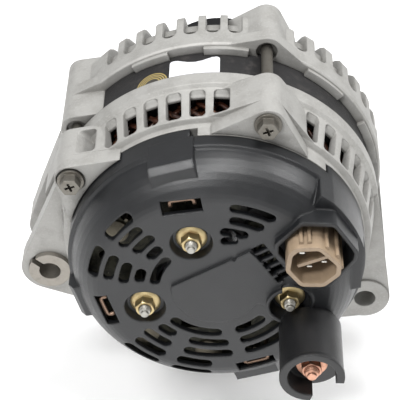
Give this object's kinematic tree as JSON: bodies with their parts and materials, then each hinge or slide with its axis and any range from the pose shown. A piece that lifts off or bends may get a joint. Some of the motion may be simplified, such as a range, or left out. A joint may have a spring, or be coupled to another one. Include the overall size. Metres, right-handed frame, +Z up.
{
  "type": "car alternator",
  "caption": "Claw-pole generator: finned castings with two pairs of mounting ears, slotted rear cover, hooded connector, shrouded output stud and a ribbed belt pulley.",
  "frame": {"origin": "on the shaft axis, in the belt's centre plane at the pulley", "axes": "+Y along the shaft from the rear cover towards the pulley, +Z up in the picture's sense with the ears below the shaft, +X to the right seen from the rear cover"},
  "size_m": [0.1764, 0.193, 0.1561],
  "materials": {
    "cover_plastic": "satin, fine moulded grain",
    "stud_steel": "zinc plated",
    "zinc_plate": "yellow zinc",
    "cast_aluminium": "blasted casting",
    "bushing_steel": "turned",
    "core_steel": "black varnish",
    "enamelled_copper": "varnished copper",
    "bare_copper": "bare copper",
    "bolt_steel": "zinc plated",
    "connector_plastic": "satin",
    "tinned_pin": "tinned",
    "regulator_plastic": "matt",
    "heat_sink_aluminium": "stamped",
    "brush_carbon": "pressed carbon",
    "spring_steel": "bright wire",
    "diode_steel": "nickel plated",
    "terminal_copper": "copper plated",
    "shroud_plastic": "satin",
    "bearing_steel": "ground",
    "cage_plastic": "moulded nylon",
    "seal_rubber": "matt",
    "shaft_steel": "ground",
    "fan_steel": "pressed sheet",
    "pulley_steel": "turned, grey coated",
    "label_film": "blank film",
    "sticker_film": "metallic film"
  },
  "bodies": {
    "housing": {"rear_cover": "cover_plastic", "cover_studs": "stud_steel", "cover_nuts": "zinc_plate", "rear_housing": "cast_aluminium", "front_housing": "cast_aluminium", "stator_core": "core_steel", "stator_winding": "enamelled_copper", "lead_clips": "bare_copper", "long_through_bolts": "bolt_steel", "short_through_bolts": "bolt_steel", "connector_body": "connector_plastic", "connector_pins": "tinned_pin", "regulator": "regulator_plastic", "regulator_heat_sink": "heat_sink_aluminium", "brush_holder": "regulator_plastic", "holder_screws": "stud_steel", "positive_plate": "heat_sink_aluminium", "negative_plate": "heat_sink_aluminium", "diodes": "diode_steel", "plate_spacers": "regulator_plastic", "terminal_stud": "bare_copper", "terminal_nut": "terminal_copper", "terminal_shroud": "shroud_plastic", "rear_outer_race": "bearing_steel", "rear_seals": "seal_rubber", "front_outer_race": "bearing_steel", "front_seals": "seal_rubber", "retainer_plate": "stud_steel", "retainer_screws": "stud_steel", "label_plate": "label_film", "round_sticker": "sticker_film"},
    "rotor": {"shaft": "shaft_steel", "rear_pole": "core_steel", "front_pole": "core_steel", "field_bobbin": "cage_plastic", "field_coil": "enamelled_copper", "slip_ring_moulding": "regulator_plastic", "slip_rings": "bare_copper", "rear_fan": "fan_steel", "front_fan": "fan_steel", "rear_inner_race": "bearing_steel", "front_inner_race": "bearing_steel", "pulley_collar": "shaft_steel", "pulley": "pulley_steel", "pulley_nut": "stud_steel"},
    "rear_ball_set": {"rear_balls": "bearing_steel", "rear_cage": "cage_plastic"},
    "front_ball_set": {"front_balls": "bearing_steel", "front_cage": "cage_plastic"},
    "inner_brush_body": {"inner_brush": "brush_carbon", "inner_brush_spring": "spring_steel"},
    "outer_brush_body": {"outer_brush": "brush_carbon", "outer_brush_spring": "spring_steel"},
    "bushing_body": {"ear_bushing": "bushing_steel"}
  },
  "joints": [
    {"name": "rotor_spin", "type": "hinge", "parent": "housing", "child": "rotor", "pos_m": [0, 0, 0], "axis": [0, 1, 0], "continuous": true},
    {"name": "rear_ball_orbit", "type": "hinge", "parent": "housing", "child": "rear_ball_set", "pos_m": [0, 0, 0], "axis": [0, 1, 0], "continuous": true},
    {"name": "front_ball_orbit", "type": "hinge", "parent": "housing", "child": "front_ball_set", "pos_m": [0, 0, 0], "axis": [0, 1, 0], "continuous": true},
    {"name": "inner_brush_slide", "type": "slide", "parent": "housing", "child": "inner_brush_body", "axis": [0, 0, -1], "range_m": [0, 0.004], "stiffness_N_per_m": 150, "springref_m": -0.014, "deforming": ["inner_brush_spring"]},
    {"name": "outer_brush_slide", "type": "slide", "parent": "housing", "child": "outer_brush_body", "axis": [0, 0, -1], "range_m": [0, 0.004], "stiffness_N_per_m": 150, "springref_m": -0.014, "deforming": ["outer_brush_spring"]},
    {"name": "bushing_slide", "type": "slide", "parent": "housing", "child": "bushing_body", "axis": [0, 1, 0], "range_m": [-0.0015, 0.0025]}
  ],
  "couplings": [
    {"joint": "rear_ball_orbit", "follows": "rotor_spin", "ratio": 0.38},
    {"joint": "front_ball_orbit", "follows": "rotor_spin", "ratio": 0.3625}
  ]
}
